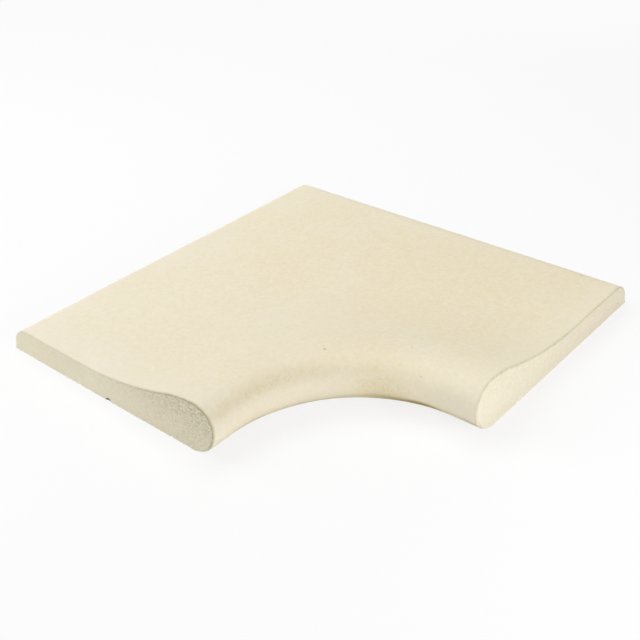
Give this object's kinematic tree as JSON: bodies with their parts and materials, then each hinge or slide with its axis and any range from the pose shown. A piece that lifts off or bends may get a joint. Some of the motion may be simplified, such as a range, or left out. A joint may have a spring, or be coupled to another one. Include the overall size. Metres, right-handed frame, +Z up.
{
  "type": "inside corner pool coping stone",
  "caption": "Square coping stone that turns an inside corner of a swimming pool, with a hollow top and a rolled nose following a quarter circle round the water.",
  "frame": {"origin": "middle of the square footprint, on the bed face", "axes": "+Z up out of the walked-on top, the pool towards -X and -Y, the paving towards +X and +Y; the two joint faces look along -X and -Y"},
  "size_m": [0.5, 0.5, 0.06],
  "materials": {
    "cast_stone": "fine sanded cream cast stone, matt"
  },
  "bodies": {
    "root": {"coping_corner": "cast_stone"}
  },
  "joints": []
}
